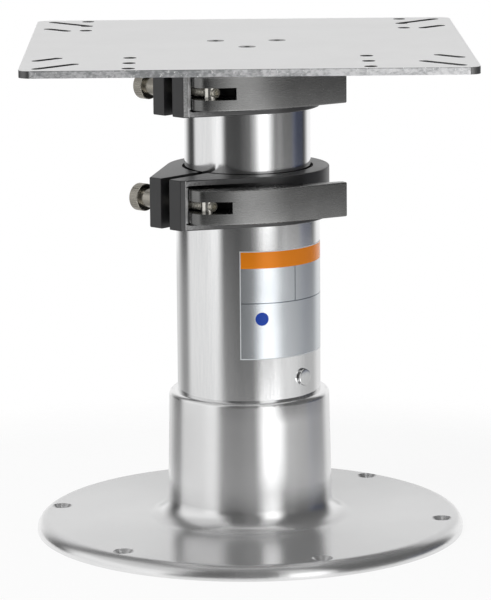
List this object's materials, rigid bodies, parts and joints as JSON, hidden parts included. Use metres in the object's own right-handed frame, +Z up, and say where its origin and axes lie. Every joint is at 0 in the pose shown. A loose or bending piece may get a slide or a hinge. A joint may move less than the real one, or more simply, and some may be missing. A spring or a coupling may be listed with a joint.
{
  "type": "table pedestal",
  "caption": "Round-based telescoping table pedestal with nested aluminium tubes, split cam-lever clamps and a square slotted top plate.",
  "frame": {"origin": "on the floor, at the centre of the base's underside", "axes": "+Z up along the tubes, -Y towards the side the clamp levers are worked from, +X along the closed levers"},
  "size_m": [0.3048, 0.3048, 0.348],
  "materials": {
    "cast_aluminium": "fine brushed cast",
    "tube_aluminium": "bright drawn",
    "plate_aluminium": "matt mill",
    "clamp_black": "satin black",
    "hardware_steel": "bright nickel",
    "bearing_nylon": "natural nylon"
  },
  "bodies": {
    "base": {"base_flange": "cast_aluminium", "outer_tube": "tube_aluminium", "tube_rivet": "tube_aluminium", "lower_bush": "bearing_nylon", "lower_clamp_ring": "clamp_black", "lower_barrel_pin": "hardware_steel", "lower_clamp_bolt": "hardware_steel"},
    "lower_lever": {"lower_clamp_lever": "clamp_black"},
    "lower_nut": {"lower_thumb_nut": "hardware_steel"},
    "middle_carrier": {"middle_guide": "bearing_nylon"},
    "middle_stage": {"middle_tube": "tube_aluminium", "upper_bush": "bearing_nylon", "upper_clamp_ring": "clamp_black", "upper_barrel_pin": "hardware_steel", "upper_clamp_bolt": "hardware_steel"},
    "upper_lever": {"upper_clamp_lever": "clamp_black"},
    "upper_nut": {"upper_thumb_nut": "hardware_steel"},
    "inner_carrier": {"inner_guide": "bearing_nylon"},
    "top_stage": {"inner_tube": "tube_aluminium", "plate_hub": "cast_aluminium", "top_plate": "plate_aluminium", "plate_screws": "hardware_steel"}
  },
  "joints": [
    {"name": "lower_lever_swing", "type": "hinge", "parent": "base", "child": "lower_lever", "pos_m": [-0.02831, -0.07068, 0.244], "axis": [0, 0, -1], "range_deg": [0, 120]},
    {"name": "lower_nut_spin", "type": "hinge", "parent": "base", "child": "lower_nut", "pos_m": [-0.07095, -0.03092, 0.244], "axis": [0.7314, -0.682, 0], "continuous": true},
    {"name": "middle_slide", "type": "slide", "parent": "base", "child": "middle_carrier", "axis": [0, 0, 1], "range_m": [0, 0.1778]},
    {"name": "middle_swivel", "type": "hinge", "parent": "middle_carrier", "child": "middle_stage", "pos_m": [0, 0, 0.009], "axis": [0, 0, 1], "continuous": true},
    {"name": "upper_lever_swing", "type": "hinge", "parent": "middle_stage", "child": "upper_lever", "pos_m": [-0.0257, -0.06539, 0.3215], "axis": [0, 0, -1], "range_deg": [0, 120]},
    {"name": "upper_nut_spin", "type": "hinge", "parent": "middle_stage", "child": "upper_nut", "pos_m": [-0.06728, -0.02452, 0.3215], "axis": [0.7133, -0.7009, 0], "continuous": true},
    {"name": "inner_slide", "type": "slide", "parent": "middle_stage", "child": "inner_carrier", "axis": [0, 0, 1], "range_m": [0, 0.1778]},
    {"name": "inner_swivel", "type": "hinge", "parent": "inner_carrier", "child": "top_stage", "pos_m": [0, 0, 0.3393], "axis": [0, 0, 1], "continuous": true}
  ]
}
